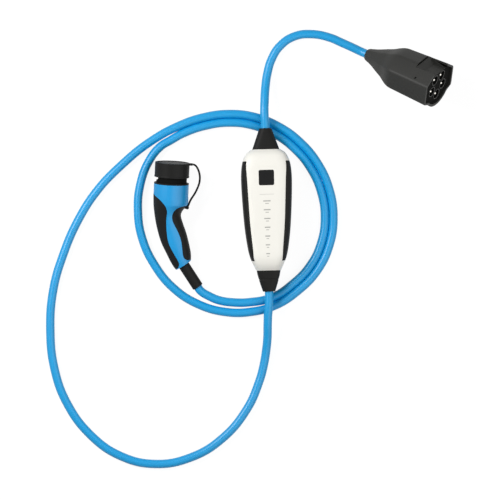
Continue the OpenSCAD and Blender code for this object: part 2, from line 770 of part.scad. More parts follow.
module contact_insert() {
  color("#1b1b1a") in_plug() difference() {
    plug_prism(insert_low, insert_l) polygon(body_section(plug_wall + gap));
    keyway(plug_l - insert_low + cut, plug_w);
    at_wells() plug_axis(insert_face - well_l) cylinder(d = well_d, h = well_l + cut);
  }
}
module contact_pins() {
  color(steel) in_plug() at_wells() {
    plug_axis(insert_face - well_l) cylinder(d = pin_d, h = well_l - pin_back - pin_d / 2);
    translate([insert_face - pin_back - pin_d / 2, 0, 0]) sphere(d = pin_d);
  }
}

// Cable routes, from the clamp in the box to the connector
lay = cable_d / 2;
cable_in = clamp_y - 4;
charging_lead = [
  [0, -cable_in, axis_z], [0, -147, axis_z], [-1, -172, axis_z], [-3, -190, 28], [-4, -208, 24],
  [-5, -230, 17], [-8, -254, 11], [-13, -280, 8.5]
];
charging_floor = [
  [-21, -307], [-45, -358], [-92, -411], [-149, -443], [-213, -453], [-275, -437], [-328, -398],
  [-369, -340], [-390, -278], [-396, -207], [-389, -135], [-370, -73], [-341, -10], [-305, 43],
  [-262, 86], [-209.5, 127], [-155.4, 155.5], [-109, 170], [-63, 174.5], [-20, 168.5], [24, 150],
  [63, 120], [94, 80], [113, 34], [119, -17], [110, -68], [87, -112], [53, -146], [11, -172],
  [-34, -183], [-80, -182], [-126, -168], [-170, -139], [-205, -95], [-227, -44], [-233, 5],
  [-227.5, 52], [-210.5, 94], [-190, 118.6], [-170, 130.3], [-149.3, 141.3], [-105.9, 154.9],
  [-63.3, 159.1], [-24.2, 153.6], [16.2, 136.7], [52.1, 109.1], [80.6, 72.2], [98, 30.1],
  [103.6, -16.5], [95.4, -63.1], [74.5, -102.9], [43.4, -133.9], [5, -157.8], [-37, -165.5],
  [-66, -165], [-91, -160.5]
];
charging_path = concat(
  charging_lead,
  [for (p = charging_floor) [p[0], p[1], lay]],
  [[-107, -153.5, 8.5], handle_at(sleeve_end + 12 * sleeve_way), handle_at(sleeve_end),
    handle_at(sleeve_end - 12 * sleeve_way)]
);
supply_path = concat(
  [
    [0, cable_in, axis_z], [0, 147, axis_z], [-1, 176, axis_z], [0, 198, 25], [2, 222, 17], [6, 246, 11],
    [14, 271, 8], [30, 295, lay], [57, 312, lay], [88, 315, lay], [120, 308, lay], [142, 298, lay],
    [160, 289.4, lay]
  ],
  [plug_at(-12), plug_at(0), plug_at(14)]
);
cable_sides = 10;
module charging_cable() {
  color(blue) tube(charging_path, cable_d, cable_sides);
}
module supply_cable() {
  color(blue) tube(supply_path, cable_d, cable_sides);
}

front_shell();
rear_shell();
housing_seal();
left_bumper();
right_bumper();
supply_boot();
vehicle_boot();
touch_tile();
light_guide();
circuit_board();
power_relays();
fault_current_sensor();
power_supply_module();
supply_terminals();
vehicle_terminals();
cable_clamps();
housing_screws();
board_screws();
handle_shell();
back_grip();
front_grip();
nose_seal();
contact_carrier();
vehicle_contacts();
cable_sleeve();
dust_cap();
cap_tether();
plug_housing();
contact_insert();
contact_pins();
charging_cable();
supply_cable();
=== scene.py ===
# Portable charger for electric cars: the looks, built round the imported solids
import math

import bmesh
import bpy
from mathutils import Matrix, Vector


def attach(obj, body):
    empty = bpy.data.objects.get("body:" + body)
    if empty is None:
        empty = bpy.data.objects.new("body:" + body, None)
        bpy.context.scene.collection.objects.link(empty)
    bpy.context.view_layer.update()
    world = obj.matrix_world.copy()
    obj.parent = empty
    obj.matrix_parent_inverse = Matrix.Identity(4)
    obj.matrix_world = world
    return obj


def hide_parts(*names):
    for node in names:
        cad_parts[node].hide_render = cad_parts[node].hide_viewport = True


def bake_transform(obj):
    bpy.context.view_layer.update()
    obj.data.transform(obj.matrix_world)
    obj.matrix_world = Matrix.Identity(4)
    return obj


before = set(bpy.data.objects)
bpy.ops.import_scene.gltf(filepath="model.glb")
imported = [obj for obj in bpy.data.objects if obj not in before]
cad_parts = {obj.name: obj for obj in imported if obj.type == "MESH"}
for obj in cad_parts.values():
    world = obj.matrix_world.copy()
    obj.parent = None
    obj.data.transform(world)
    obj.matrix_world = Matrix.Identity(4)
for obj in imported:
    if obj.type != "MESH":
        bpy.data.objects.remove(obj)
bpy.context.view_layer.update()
print("frame loaded,", len(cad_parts), "nodes")

millimetre = 0.001
toMetres = Matrix.Scale(millimetre, 4)  # pieces are drawn in millimetres and placed in metres
root = "charger"


# Small helpers

def hexColor(code):  # sRGB hex to the linear values that shaders take
    def linear(c):
        return c / 12.92 if c <= 0.04045 else ((c + 0.055) / 1.055) ** 2.4
    return [linear(int(code[i:i + 2], 16) / 255) for i in (1, 3, 5)] + [1.0]


def addNode(tree, kind, settings=None, links=None):
    node = tree.nodes.new(kind)
    for key, value in (settings or {}).items():
        if isinstance(key, int) or key in node.inputs:
            node.inputs[key].default_value = value
        else:
            setattr(node, key, value)
    for key, socket in (links or {}).items():
        tree.links.new(socket, node.inputs[key])
    return node


def through(knots, at):  # smooth curve through (place, value) knots
    def slope(j):
        a, b = max(j - 1, 0), min(j + 1, len(knots) - 1)
        return (knots[b][1] - knots[a][1]) / (knots[b][0] - knots[a][0])
    i = 0
    while i < len(knots) - 2 and at > knots[i + 1][0]:
        i += 1
    span = knots[i + 1][0] - knots[i][0]
    t = (at - knots[i][0]) / span
    u = 1 - t
    ends = u * u * (1 + 2 * t) * knots[i][1] + t * t * (3 - 2 * t) * knots[i + 1][1]
    return ends + t * u * span * (u * slope(i) - t * slope(i + 1))


def steps(a, b, n):  # n equal steps from a to b, with both ends
    return [a + (b - a) * i / n for i in range(n + 1)]


def mix(a, b, t):
    return a + (b - a) * t


def loopEdges(bm, loop):
    return [bm.edges.get((a, b)) for a, b in zip(loop, loop[1:] + loop[:1])]


def loft(bm, rings, capped=True):  # a circle extruded ring to ring; uncapped, the last joins the first
    loop = bmesh.ops.create_circle(bm, segments=len(rings[0]), radius=1)["verts"]
    first = loop
    for vert, point in zip(loop, rings[0]):
        vert.co = point
    for ring in rings[1:]:
        grown = bmesh.ops.extrude_edge_only(bm, edges=loopEdges(bm, loop))["geom"]
        fresh = {g for g in grown if isinstance(g, bmesh.types.BMVert)}
        loop = [next(e.other_vert(v) for e in v.link_edges if e.other_vert(v) in fresh) for v in loop]
        for vert, point in zip(loop, ring):
            vert.co = point
    if capped:
        bmesh.ops.contextual_create(bm, geom=first)
        bmesh.ops.contextual_create(bm, geom=loop)
    else:
        bmesh.ops.bridge_loops(bm, edges=loopEdges(bm, first) + loopEdges(bm, loop))
    tidy(bm)


def tidy(bm, merge=1e-4):
    bmesh.ops.remove_doubles(bm, verts=bm.verts, dist=merge)
    bmesh.ops.recalc_face_normals(bm, faces=bm.faces)


def lathe(bm, profile, closed=False, turns=72):  # (radius, place) points spun about Y
    verts = [bm.verts.new((r, y, 0)) for r, y in profile]
    pairs = list(zip(verts, verts[1:])) + ([(verts[-1], verts[0])] if closed else [])
    edges = [bm.edges.new(pair) for pair in pairs]
    bmesh.ops.spin(
        bm, geom=verts + edges, cent=(0, 0, 0), axis=(0, 1, 0), angle=math.tau, steps=turns, use_merge=True
    )
    tidy(bm)


def block(bm, low, high):
    size = [b - a for a, b in zip(low, high)]
    middle = [(a + b) / 2 for a, b in zip(low, high)]
    place = Matrix.Translation(middle) @ Matrix.Diagonal((*size, 1))
    return bmesh.ops.create_cube(bm, size=1, matrix=place)["verts"]


def rod(bm, radius, start, end, sides=48):
    a, b = Vector(start), Vector(end)
    turn = (b - a).to_track_quat("Z", "Y").to_matrix().to_4x4()
    bmesh.ops.create_cone(
        bm, cap_ends=True, segments=sides, radius1=radius, radius2=radius, depth=(b - a).length,
        matrix=Matrix.Translation((a + b) / 2) @ turn,
    )


def roundedPlate(bm, width, radius, low, high, centre):
    x, y = centre
    half = width / 2
    verts = block(bm, (x - half, y - half, low), (x + half, y + half, high))
    upright = [e for e in {e for v in verts for e in v.link_edges}
               if abs(e.verts[0].co.z - e.verts[1].co.z) > (high - low) / 2]
    bmesh.ops.bevel(bm, geom=upright, offset=radius, affect="EDGES", segments=8, profile=0.5, material=-1)


def meshObject(name, bm, place):
    bmesh.ops.transform(bm, matrix=place, verts=bm.verts)
    mesh = bpy.data.meshes.new(name)
    bm.to_mesh(mesh)
    bm.free()
    obj = bpy.data.objects.new(name, mesh)
    bpy.context.scene.collection.objects.link(obj)
    return obj


def carve(obj, cutter, place):  # takes the cutter's shape out of the piece
    tool = meshObject("cutter", cutter, place)
    cut = obj.modifiers.new("cut", "BOOLEAN")
    cut.operation = "DIFFERENCE"
    cut.solver = "EXACT"
    cut.object = tool
    bpy.context.view_layer.update()
    seen = obj.evaluated_get(bpy.context.evaluated_depsgraph_get())
    carved = bpy.data.meshes.new_from_object(seen)
    obj.modifiers.clear()
    obj.data = carved
    bpy.data.objects.remove(tool)


def makePiece(
    name, bm, material, place=toMetres, replaced=(), body=root, cutters=(), edge=0.0, sharp=32
):  # edge is a rounding in millimetres, sharp the angle in degrees from which an edge shows
    obj = meshObject(name, bm, place)
    for cutter in cutters:
        carve(obj, cutter, place)
    obj.data.materials.clear()
    obj.data.materials.append(material)
    obj.data.shade_smooth()
    obj.data.set_sharp_from_angle(angle=math.radians(sharp))
    if edge:
        rounding = obj.modifiers.new("softEdge", "BEVEL")
        rounding.width = edge * millimetre
        rounding.segments = 3
        rounding.limit_method = "ANGLE"
        rounding.angle_limit = math.radians(sharp)
        rounding.harden_normals = True
    if body:
        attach(obj, body)
    if replaced:
        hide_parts(*replaced)
    return obj


# Materials

texture = {
    "broad": 45, "turning": 0.8,  # sizes of slow colour changes and of turning marks, in millimetres
    "swing": 0.05, "turningSwing": 0.06, "bump": 0.5,  # roughness either way, and strength of the relief
}


def blankMaterial(name):
    material = bpy.data.materials.new(name)
    material.use_nodes = True
    tree = material.node_tree
    where = addNode(tree, "ShaderNodeTexCoord").outputs["Object"]
    return material, tree, tree.nodes["Principled BSDF"], where


def moulded(name, color, grain, depth, roughness, specular, tint):
    # grain is the size of the mould's texture in millimetres, drawn coarse enough to show
    material, tree, shader, where = blankMaterial(name)
    fine = addNode(
        tree, "ShaderNodeTexNoise", {"Scale": 1 / (grain * millimetre), "Detail": 3.0}, {"Vector": where}
    )
    broad = addNode(
        tree, "ShaderNodeTexNoise", {"Scale": 1 / (texture["broad"] * millimetre), "Detail": 2.0},
        {"Vector": where},
    )
    dark = [c * (1 - tint) for c in hexColor(color)[:3]] + [1.0]
    light = [min(c * (1 + tint), 1) for c in hexColor(color)[:3]] + [1.0]
    shade = addNode(
        tree, "ShaderNodeMix", {"data_type": "RGBA", 6: dark, 7: light}, {0: broad.outputs["Fac"]}
    )
    tree.links.new(shade.outputs[2], shader.inputs["Base Color"])
    worn = addNode(
        tree, "ShaderNodeMapRange",
        {"To Min": roughness - texture["swing"], "To Max": roughness + texture["swing"]},
        {"Value": fine.outputs["Fac"]},
    )
    tree.links.new(worn.outputs["Result"], shader.inputs["Roughness"])
    bump = addNode(
        tree, "ShaderNodeBump", {"Strength": texture["bump"], "Distance": depth * millimetre},
        {"Height": fine.outputs["Fac"]},
    )
    tree.links.new(bump.outputs["Normal"], shader.inputs["Normal"])
    shader.inputs["Specular IOR Level"].default_value = specular
    return material


def plated(name, color, roughness):  # turned metal, plated: bright with fine turning marks
    material, tree, shader, where = blankMaterial(name)
    marks = addNode(
        tree, "ShaderNodeTexNoise", {"Scale": 1 / (texture["turning"] * millimetre)}, {"Vector": where}
    )
    polish = addNode(
        tree, "ShaderNodeMapRange",
        {"To Min": roughness - texture["turningSwing"], "To Max": roughness + texture["turningSwing"]},
        {"Value": marks.outputs["Fac"]},
    )
    tree.links.new(polish.outputs["Result"], shader.inputs["Roughness"])
    shader.inputs["Base Color"].default_value = hexColor(color)
    shader.inputs["Metallic"].default_value = 1.0
    return material


whiteAbs = moulded(  # satin, warm white
    "whiteAbsMoulded", "#f4f2ea", grain=0.9, depth=0.03, roughness=0.42, specular=0.35, tint=0.012
)
blackTpu = moulded(  # matt rubber with a soft sheen
    "blackTpuSoftTouch", "#0f0f0e", grain=0.7, depth=0.05, roughness=0.54, specular=0.15, tint=0.12
)
capTpu = moulded(  # the cap's slightly shinier rubber
    "capTpuMoulded", "#0e0e0d", grain=0.9, depth=0.05, roughness=0.52, specular=0.15, tint=0.12
)
bluePolyamide = moulded(  # satin blue shell
    "bluePolyamideMoulded", "#0f98d8", grain=0.8, depth=0.025, roughness=0.36, specular=0.5, tint=0.03
)
bluePur = moulded(  # extruded cable jacket with a soft shine
    "bluePurJacket", "#0a9cda", grain=1.4, depth=0.04, roughness=0.36, specular=0.48, tint=0.04
)
charcoalPbt = moulded(  # glass-filled and dull
    "charcoalPbtMoulded", "#2a2a28", grain=0.8, depth=0.05, roughness=0.5, specular=0.25, tint=0.06
)
blackPbt = moulded(  # the contact blocks, flat black
    "blackPbtMoulded", "#161615", grain=0.8, depth=0.03, roughness=0.7, specular=0.02, tint=0.08
)
highlightGreyPbt = moulded(  # lip painted light grey: a painted highlight standing for the rim catching the light
    "greyPbtCollarPaintedHighlight", "#3c3c3a", grain=0.8, depth=0.03, roughness=0.4, specular=0.4, tint=0.05
)
tileAcrylic = moulded(  # polished black cover
    "blackAcrylicTile", "#101011", grain=2.5, depth=0.002, roughness=0.16, specular=0.2, tint=0.05
)
guidePc = moulded(  # frosted, pale grey while the lights are off
    "frostedPcGuide", "#b0afaa", grain=0.8, depth=0.01, roughness=0.35, specular=0.45, tint=0.03
)
greyInk = moulded(  # flat film of ink
    "greyPadPrint", "#b4b2ac", grain=0.5, depth=0.005, roughness=0.6, specular=0.2, tint=0.05
)
laminate = moulded(  # green board with a slight gloss
    "greenGlassLaminate", "#12502c", grain=1.2, depth=0.01, roughness=0.35, specular=0.5, tint=0.1
)
yellowTape = moulded(  # smooth tape round a transformer
    "yellowPolyesterTape", "#c9a832", grain=1.0, depth=0.01, roughness=0.4, specular=0.4, tint=0.05
)
greenPolyamide = moulded(  # satin terminal blocks
    "greenTerminalPolyamide", "#2d7a4d", grain=0.8, depth=0.02, roughness=0.45, specular=0.4, tint=0.05
)
platedNickel = plated("nickelPlatedBrass", "#dedbd3", roughness=0.2)  # bright, close to a mirror
zincSteel = plated("zincPlatedSteel", "#b9bab8", roughness=0.32)  # duller and greyer
print("materials made")

nodeLooks = {
    "housing_seal": blackTpu, "circuit_board": laminate, "power_relays": blackPbt,
    "fault_current_sensor": blackPbt, "power_supply_module": yellowTape, "supply_terminals": greenPolyamide,
    "vehicle_terminals": greenPolyamide, "cable_clamps": blackPbt, "housing_screws": zincSteel,
    "board_screws": zincSteel, "contact_carrier": blackPbt, "vehicle_contacts": platedNickel,
}
for nodeName, look in nodeLooks.items():
    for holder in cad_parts[nodeName].material_slots:
        holder.material = look


# Camera: the photograph looks straight down on the box

photo = {
    "pixels": 500, "pixelSize": 1.8 * millimetre,
    "boxAt": (267.2, 209.9), "boxMiddle": 30 * millimetre,  # box centre in the photograph and its height
    "roll": 1.34, "lean": 0.3, "leanTo": (0.92, -0.38), "lens": 600.0, "sensor": 36.0,
    "farClip": 200,
}
roll = math.radians(photo["roll"])
imageRight = Vector((math.cos(roll), -math.sin(roll), 0))
imageUp = Vector((math.sin(roll), math.cos(roll), 0))
offRight = (photo["pixels"] / 2 - photo["boxAt"][0]) * photo["pixelSize"]
offUp = (photo["boxAt"][1] - photo["pixels"] / 2) * photo["pixelSize"]
aim = Vector((0, 0, photo["boxMiddle"])) + imageRight * offRight + imageUp * offUp
distance = photo["pixels"] * photo["pixelSize"] * photo["lens"] / photo["sensor"]
leaning = math.tan(math.radians(photo["lean"]))
away = Vector((photo["leanTo"][0] * leaning, photo["leanTo"][1] * leaning, 1)).normalized()
cameraData = bpy.data.cameras.new("camera")
cameraData.lens = photo["lens"]
cameraData.sensor_width = photo["sensor"]
cameraData.clip_end = photo["farClip"]
camera = bpy.data.objects.new("camera", cameraData)
bpy.context.scene.collection.objects.link(camera)
sideways = imageUp.cross(away).normalized()
axes = Matrix((sideways, away.cross(sideways), away)).transposed().to_4x4()
camera.matrix_world = Matrix.Translation(aim + away * distance) @ axes
bpy.context.scene.camera = camera
print("camera at", [round(v, 3) for v in camera.location])

# Frames of the two connectors

handle = {
    "spot": (-171.2, 50.9), "lean": 4.07, "tilt": 6.8, "collarR": 31.4, "collarL": 18, "length": 146,
}
handleTilt = math.radians(handle["tilt"])
handleRise = handle["collarR"] * math.cos(handleTilt) + handle["collarL"] * math.sin(handleTilt)
handlePlace = (
    toMetres @ Matrix.Translation((*handle["spot"], handleRise))
    @ Matrix.Rotation(math.radians(-handle["lean"]), 4, "Z") @ Matrix.Rotation(handleTilt, 4, "X")
)
plug = {
    "spot": (186, 276.5), "heading": -25.6, "tilt": 23, "roll": -52, "tail": 76, "body": 77.5, "tailD": 21,
    "width": 93, "height": 82, "ridge": 16.6, "earHigh": 19.4, "earLow": -20, "kneeShare": 0.92,
    "belly": (39, 84, 5),  # the round underside, from and to in degrees, and its steps
    "tailRound": 2, "corner": 4, "cornerRoom": 2.2,  # a corner takes under half of a side
    "cableAt": (-12, 0, 24),  # the cable's last points, from outside the tail to inside it
}
tailKnots = [
    (0, 0), (0.24, 0.2), (0.47, 0.45), (0.63, 0.62), (0.79, 0.84), (0.895, 0.95), (1, 1), (1.12, 1),
]
tailStops = [0, 0.12, 0.24, 0.36, 0.47, 0.56, 0.64, 0.72, 0.79, 0.85, 0.91, 1]
plugTilt = math.radians(plug["tilt"])
plugRoll = math.radians(plug["roll"])
plugEar = plug["width"] / 2 * math.sin(-plugRoll) - plug["earLow"] * math.cos(plugRoll)
plugReach = plug["kneeShare"] * plugEar
plugRise = max(
    mix(plug["tailD"] / 2, plugReach, through(tailKnots, t)) * math.cos(plugTilt)
    - t * plug["tail"] * math.sin(plugTilt) for t in tailStops
)  # it lies on its knee
plugPlace = (
    toMetres @ Matrix.Translation((*plug["spot"], plugRise))
    @ Matrix.Rotation(math.radians(plug["heading"]), 4, "Z") @ Matrix.Rotation(-plugTilt, 4, "Y")
    @ Matrix.Rotation(plugRoll, 4, "X")
)

# Cables

cable = {"diameter": 15, "swell": 0.5, "lay": 7.5, "startIn": 140, "round": 10, "smooth": 12}
sleeve = {
    "start": (29, -146), "way": (0.58, -0.815), "length": 47, "sink": 4, "diameter": 20, "grip": 16,
    "fit": 0.15, "edge": 0.9, "cableAt": (12, 0, -12),  # the cable's last points, from outside to inside
}
sleeveWay = Vector((*sleeve["way"], 0)).normalized()
sleeveStart = Vector((*sleeve["start"], 0))
sleeveEnd = sleeveStart + sleeveWay * (sleeve["length"] - sleeve["sink"])
chargingLead = [
    (0, -cable["startIn"], 30), (0, -147, 30), (-1, -172, 30), (-3, -190, 28), (-4, -208, 24), (-5, -230, 17),
    (-8, -254, 11), (-13, -280, 8.5),
]
chargingFloor = [
    (-21, -307), (-45, -358), (-92, -411), (-149, -443), (-213, -453), (-275, -437), (-328, -398),
    (-369, -340), (-390, -278), (-396, -207), (-389, -135), (-370, -73), (-341, -10), (-305, 43),
    (-262, 86), (-209.5, 127), (-155.4, 155.5), (-109, 170), (-63, 174.5), (-20, 168.5), (24, 150),
    (63, 120), (94, 80), (113, 34), (119, -17), (110, -68), (87, -112), (53, -146), (11, -172),
    (-34, -183), (-80, -182), (-126, -168), (-170, -139), (-205, -95), (-227, -44), (-233, 5),
    (-227.5, 52), (-210.5, 94), (-190, 118.6), (-170, 130.3), (-149.3, 141.3), (-105.9, 154.9),
    (-63.3, 159.1), (-24.2, 153.6), (16.2, 136.7), (52.1, 109.1), (80.6, 72.2), (98, 30.1),
    (103.6, -16.5), (95.4, -63.1), (74.5, -102.9), (43.4, -133.9), (5, -157.8), (-37, -165.5),
    (-66, -165), (-91, -160.5),
]
supplyRoute = [
    (0, cable["startIn"], 30), (0, 147, 30), (-1, 176, 30), (0, 198, 25), (2, 222, 17), (6, 246, 11),
    (14, 271, 8), (30, 295, 7.5), (57, 312, 7.5), (88, 315, 7.5), (120, 308, 7.5), (142, 298, 7.5),
    (160, 289.4, 7.5),
]
chargingRise = [(-107, -153.5, 8.5)]  # it leaves the floor for the sleeve
intoSleeve = [handlePlace @ (sleeveEnd + sleeveWay * d) for d in sleeve["cableAt"]]
intoPlug = [plugPlace @ Vector((d, 0, 0)) for d in plug["cableAt"]]
chargingPoints = [Vector(p) * millimetre for p in chargingLead]
chargingPoints += [Vector((*p, cable["lay"])) * millimetre for p in chargingFloor]
chargingPoints += [Vector(p) * millimetre for p in chargingRise] + intoSleeve
supplyPoints = [Vector(p) * millimetre for p in supplyRoute] + intoPlug


def layCable(name, points, node):
    curve = bpy.data.curves.new(name, "CURVE")
    curve.dimensions = "3D"
    curve.bevel_depth = (cable["diameter"] + cable["swell"]) / 2 * millimetre  # neighbours just touch
    curve.bevel_resolution = cable["round"]
    curve.resolution_u = cable["smooth"]
    curve.use_fill_caps = True
    spline = curve.splines.new("BEZIER")
    spline.bezier_points.add(len(points) - 1)
    for knot, point in zip(spline.bezier_points, points):
        knot.co = point
        knot.handle_left_type = "AUTO"
        knot.handle_right_type = "AUTO"
    curve.materials.append(bluePur)
    obj = bpy.data.objects.new(name, curve)
    bpy.context.scene.collection.objects.link(obj)
    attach(obj, root)
    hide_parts(node)
    return obj


chargingCable = layCable("chargingCable", chargingPoints, "charging_cable")
supplyCable = layCable("supplyCable", supplyPoints, "supply_cable")
print("cables laid")

# Control box: the white halves

housing = {
    "length": 218, "width": 91.4, "thick": 60, "wall": 3, "bumper": 3, "bumperFace": 11,
    "bumperEnds": (-92, 88), "endWidth": 25, "footWidth": 22, "endHeight": 17, "power": 4, "flat": 0.986,
}
boxHalf = housing["length"] / 2
axisZ = housing["thick"] / 2
wide = housing["width"] / 2
endIn = boxHalf - housing["wall"]
bumperLow, bumperHigh = housing["bumperEnds"]
widthKnots = [
    (-boxHalf, housing["footWidth"]), (5 - boxHalf, housing["footWidth"] + 2.5), (11 - boxHalf, 0.6 * wide),
    (24 - boxHalf, 0.715 * wide), (41 - boxHalf, 0.8 * wide), (-33, 0.9 * wide), (15, 0.972 * wide),
    (boxHalf - 54, wide), (boxHalf - 34, 0.976 * wide), (boxHalf - 20, 0.915 * wide),
    (boxHalf - 9, 0.805 * wide), (boxHalf - 3.5, 0.69 * wide), (boxHalf, housing["endWidth"]),
]
heightKnots = [
    (-boxHalf, housing["endHeight"]), (5 - boxHalf, axisZ - 8.5), (11 - boxHalf, axisZ - 4.5),
    (19 - boxHalf, axisZ - 1.4), (26 - boxHalf, axisZ), (32 - boxHalf, axisZ), (boxHalf - 32, axisZ),
    (boxHalf - 26, axisZ), (boxHalf - 18, axisZ - 1.2), (boxHalf - 9, axisZ - 4.5),
    (boxHalf - 3.5, axisZ - 9), (boxHalf, housing["endHeight"]),
]
faceKnots = [
    (bumperLow, housing["bumperFace"] / 2), (bumperLow + 24, 0.86 * housing["bumperFace"]),
    (-20, housing["bumperFace"]), (bumperHigh - 33, housing["bumperFace"]),
    (bumperHigh, 0.63 * housing["bumperFace"]),
]


def soft(v):  # bends a circle's sine or cosine towards a rounded square
    return math.copysign(abs(v) ** (2 / housing["power"]), v)


def boxPoint(y, angle, insetX, insetZ, up):
    a = math.radians(angle)
    tall = max(min(soft(math.sin(a)) / housing["flat"], 1), -1)
    x = -(through(widthKnots, y) - insetX) * soft(math.cos(a))
    return Vector((x, y, axisZ + up * (through(heightKnots, y) - insetZ) * tall))


def edgeAngle(y):  # from the parting plane to the bumper's edge
    at = min(max(y, bumperLow), bumperHigh)
    half = through(widthKnots, at)
    inward = (half - through(faceKnots, at)) / half
    return math.degrees(math.acos(inward ** (housing["power"] / 2)))


def shellRing(y, inset, hollow, up):
    e = edgeAngle(y)
    sides = [(a, inset) for a in steps(0, e, 8)]
    top = [(a, 0) for a in steps(e, 180 - e, 36)]
    outer = sides + top + [(180 - a, i) for a, i in reversed(sides)]
    wall = housing["wall"]
    ring = [boxPoint(y, a, i, i, up) for a, i in outer]
    for a, i in reversed(outer):
        point = boxPoint(y, a, wall + housing["bumper"], wall, up)
        ring.append(point if hollow else Vector((point.x, y, axisZ)))
    return ring


def shellRings(up):
    low = [(y, 0, True) for y in steps(-endIn, bumperLow, 8)]
    seat = [(y, housing["bumper"], True) for y in steps(bumperLow, bumperHigh, 44)]
    high = [(y, 0, True) for y in steps(bumperHigh, endIn, 10)]
    walls = [(-boxHalf, 0, False), (-endIn, 0, False)]
    stops = walls + low + seat + high + [(-y, i, h) for y, i, h in reversed(walls)]
    return [shellRing(y, i, h, up) for y, i, h in stops]


cutPast = 5  # a cutter reaches this far past the face that it cuts
front = {
    "tile": 27.5, "tileR": 3, "tileY": 58, "tileT": 2.4, "tileProud": 0.4, "tileEdge": 0.35, "fit": 0.3,
}
dash = {"top": 16, "pitch": 15.8, "count": 7, "width": 13, "taper": 1.1, "height": 1.6, "proud": 0.1}
tileSeat = housing["thick"] - front["tileT"] + front["tileProud"]


def dashBlocks(bm, low, high, extra):
    for i in range(dash["count"]):
        half = (dash["width"] - i * dash["taper"] + extra) / 2
        tall = (dash["height"] + extra) / 2
        y = dash["top"] - i * dash["pitch"]
        block(bm, (-half, y - tall, low), (half, y + tall, high))


shell = bmesh.new()
loft(shell, shellRings(1))
slots = bmesh.new()
roundedPlate(
    slots, front["tile"] + front["fit"], front["tileR"], tileSeat, housing["thick"] + cutPast,
    (0, front["tileY"]),
)
dashBlocks(slots, housing["thick"] - 2 * housing["wall"], housing["thick"] + cutPast, front["fit"])
makePiece("frontShell", shell, whiteAbs, replaced=["front_shell"], cutters=[slots])

pillars = [(24, boxHalf - 20), (-24, boxHalf - 20), (14.5, 29 - boxHalf), (-14.5, 29 - boxHalf)]
screwWell = {"radius": 3.15, "depth": 7}
shell = bmesh.new()
loft(shell, shellRings(-1))
wells = bmesh.new()
for x, y in pillars:
    rod(wells, screwWell["radius"], (x, y, -cutPast), (x, y, screwWell["depth"]))
makePiece("rearShell", shell, whiteAbs, replaced=["rear_shell"], cutters=[wells])
print("box halves made")

# Bumpers, tile and indicator lights

bumper = {"seat": 0.2, "proud": 0.15, "slack": 0.6, "endGap": 0.3, "edge": 0.9}


def bumperRing(y, side):
    e = edgeAngle(y) - bumper["slack"]
    deep = housing["bumper"] - bumper["seat"]
    outer = [boxPoint(y, a, -bumper["proud"], -bumper["proud"], 1) for a in steps(-e, e, 28)]
    inner = [boxPoint(y, a, deep, deep, 1) for a in steps(e, -e, 28)]
    return [Vector((side * abs(p.x), p.y, p.z)) for p in outer + inner]


for name, node, side in (("leftBumper", "left_bumper", -1), ("rightBumper", "right_bumper", 1)):
    band = bmesh.new()
    bandStops = steps(bumperLow + bumper["endGap"], bumperHigh - bumper["endGap"], 40)
    loft(band, [bumperRing(y, side) for y in bandStops])
    makePiece(name, band, blackTpu, replaced=[node], edge=bumper["edge"], sharp=40)

tile = bmesh.new()
roundedPlate(
    tile, front["tile"], front["tileR"], tileSeat, housing["thick"] + front["tileProud"], (0, front["tileY"])
)
makePiece("touchTile", tile, tileAcrylic, replaced=["touch_tile"], edge=front["tileEdge"])

guide = {"width": 17, "end": 8, "under": 0.3, "thick": 2.5, "overlap": 1, "edge": 0.1}
guideHigh = dash["top"] + guide["end"] / 2
guideLow = guideHigh - (dash["count"] - 1) * dash["pitch"] - guide["end"]
guideTop = axisZ + through(heightKnots, guideLow) - housing["wall"] - guide["under"]
lights = bmesh.new()
block(
    lights, (-guide["width"] / 2, guideLow, guideTop - guide["thick"]),
    (guide["width"] / 2, guideHigh, guideTop),
)
dashBlocks(lights, guideTop - guide["overlap"], housing["thick"] + dash["proud"], 0)
makePiece("lightGuide", lights, guidePc, replaced=["light_guide"], edge=guide["edge"])

# Printed marks: a short bar under each light, and a hairline above the row

mark = {
    "under": 4.6, "width": 6.5, "taper": 0.45, "height": 1.2, "ink": 0.06, "sunk": 0.5,
    "lineY": 28, "line": 26, "hair": 0.5,
}


def inkBar(bm, y, width, height):
    block(
        bm, (-width / 2, y - height / 2, housing["thick"] - mark["sunk"]),
        (width / 2, y + height / 2, housing["thick"] + mark["ink"]),
    )


marks = bmesh.new()
for i in range(dash["count"]):
    markY = dash["top"] - i * dash["pitch"] - mark["under"]
    inkBar(marks, markY, mark["width"] - i * mark["taper"], mark["height"])
inkBar(marks, mark["lineY"], mark["line"], mark["hair"])
makePiece("printedMarks", marks, greyInk)
print("bumpers, tile and lights made")

# Cable boots

boot = {
    "length": 38, "tip": 22, "in": 0.5, "bore": 15.3, "points": 64, "edge": 1.2,
    "groove": 0.8, "grooveWide": 0.022, "grooveEase": 60,  # grooveWide is a share of the length
}


def bootRing(y, shape):  # shape gives x and height from the angle's cosine and sine
    turns = [math.tau * i / boot["points"] for i in range(boot["points"])]
    places = [shape(math.cos(a), math.sin(a)) for a in turns]
    return [Vector((x, y, axisZ + z)) for x, z in places]


def makeBoot(name, node, way, width, bulge, grooves):
    tip = boot["tip"] / 2
    height = housing["endHeight"] - boot["in"]
    bore = boot["bore"] / 2
    rings = []
    for t in steps(0, 1, 48):
        k = t ** bulge
        dip = sum(boot["groove"] * math.exp(-((t - g) / boot["grooveWide"]) ** 2) for g in grooves)
        ease = 1 - dip / boot["grooveEase"]  # the groove goes on into the round share of the section
        rings.append(bootRing(way * (boxHalf + t * boot["length"]), lambda c, s: (
            ease * mix((width - dip) * soft(c), tip * c, k), ease * mix((height - dip) * soft(s), tip * s, k)
        )))
    for y in (boxHalf + boot["length"], boxHalf):
        rings.append(bootRing(way * y, lambda c, s: (bore * c, bore * s)))
    bm = bmesh.new()
    loft(bm, rings, capped=False)
    makePiece(name, bm, blackTpu, replaced=[node], edge=boot["edge"], sharp=40)


